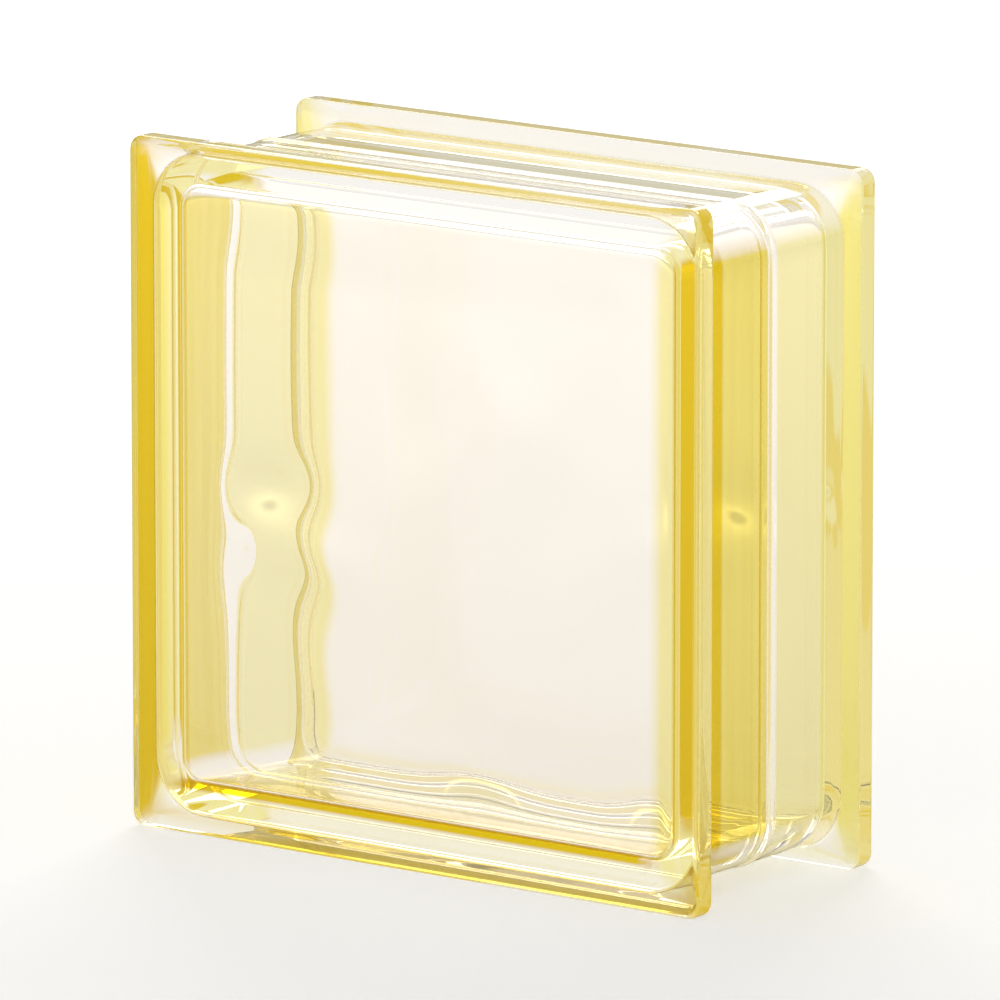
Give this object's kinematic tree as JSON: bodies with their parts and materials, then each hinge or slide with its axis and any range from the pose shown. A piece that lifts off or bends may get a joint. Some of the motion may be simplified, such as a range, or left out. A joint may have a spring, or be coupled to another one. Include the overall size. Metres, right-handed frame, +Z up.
{
  "type": "glass block",
  "caption": "Hollow square building block of yellow glass with a wavy inner relief and a mortar channel round its sides.",
  "frame": {"origin": "middle of the underside, on the floor plane that the bottom rims stand on", "axes": "+X along the width, to the right as seen from the front; -Y out of the front face, +Y through the thickness to the back face; +Z up"},
  "size_m": [0.19, 0.08, 0.19],
  "materials": {
    "yellow_glass": "fire polished, smooth outer faces, pressed wavy inner faces"
  },
  "bodies": {
    "root": {"glass_block": "yellow_glass"}
  },
  "joints": []
}
